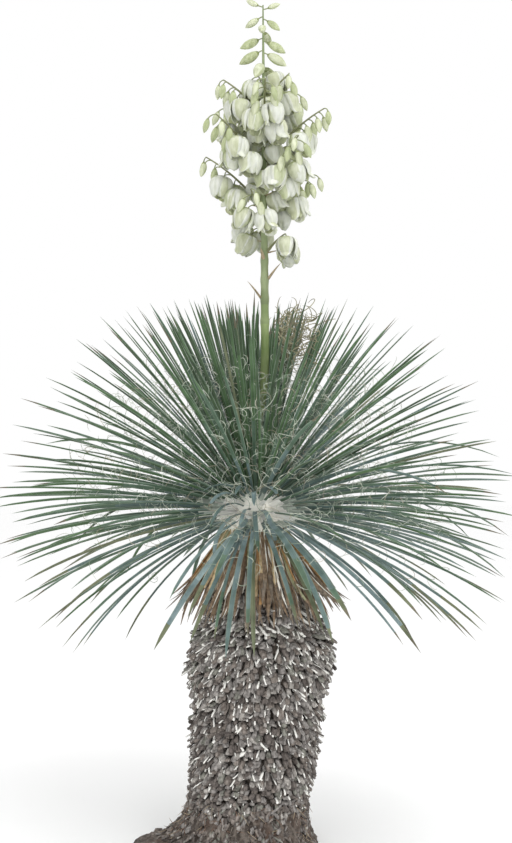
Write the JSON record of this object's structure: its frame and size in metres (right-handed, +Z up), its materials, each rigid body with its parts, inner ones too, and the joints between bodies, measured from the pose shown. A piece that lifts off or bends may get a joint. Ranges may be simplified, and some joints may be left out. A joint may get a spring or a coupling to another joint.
{
  "type": "soaptree yucca",
  "caption": "Soaptree yucca in flower: a stout leaning trunk coated in old leaf stubs, a skirt of dead leaves, a ball of narrow green leaves and a tall stalk of hanging cream bells.",
  "frame": {"origin": "the flat cut at ground level, on the upright line through the middle of the leaf crown", "axes": "+Z up the trunk from the ground, +X to the right in the picture, +Y away from the picture's camera"},
  "size_m": [1.0223, 1.0399, 1.6856],
  "materials": {
    "bark": "rough grey-brown coat of old leaf stubs",
    "dead_leaf": "dry, dull, tan to grey-brown",
    "green_leaf": "waxy blue-green, low sheen",
    "flower_stalk": "smooth fresh green, low sheen",
    "blossom": "cream-white petals, soft sheen"
  },
  "bodies": {
    "root": {"dead_skirt_1": "dead_leaf", "dead_skirt_2": "dead_leaf", "dead_skirt_3": "dead_leaf", "dead_skirt_4": "dead_leaf", "dead_skirt_5": "dead_leaf", "dead_skirt_6": "dead_leaf", "flower_branch_01": "blossom", "flower_branch_02": "blossom", "flower_branch_03": "blossom", "flower_branch_04": "blossom", "flower_branch_05": "blossom", "flower_branch_06": "blossom", "flower_branch_07": "blossom", "flower_branch_08": "blossom", "flower_branch_09": "blossom", "flower_branch_10": "blossom", "flower_branch_11": "blossom", "flower_branch_12": "blossom", "flower_branch_13": "blossom", "flower_branch_14": "blossom", "flower_stalk": "flower_stalk", "leaves_drooping_1": "green_leaf", "leaves_drooping_2": "green_leaf", "leaves_drooping_3": "green_leaf", "leaves_drooping_4": "green_leaf", "leaves_drooping_5": "green_leaf", "leaves_drooping_6": "green_leaf", "leaves_heart_1": "green_leaf", "leaves_heart_2": "green_leaf", "leaves_heart_3": "green_leaf", "leaves_inner_1": "green_leaf", "leaves_inner_2": "green_leaf", "leaves_inner_3": "green_leaf", "leaves_inner_4": "green_leaf", "leaves_level_1": "green_leaf", "leaves_level_2": "green_leaf", "leaves_level_3": "green_leaf", "leaves_level_4": "green_leaf", "leaves_level_5": "green_leaf", "leaves_level_6": "green_leaf", "leaves_lower_1": "green_leaf", "leaves_lower_2": "green_leaf", "leaves_lower_3": "green_leaf", "leaves_lower_4": "green_leaf", "leaves_lower_5": "green_leaf", "leaves_lower_6": "green_leaf", "leaves_upper_1": "green_leaf", "leaves_upper_2": "green_leaf", "leaves_upper_3": "green_leaf", "leaves_upper_4": "green_leaf", "leaves_upper_5": "green_leaf", "trunk": "bark"}
  },
  "joints": []
}
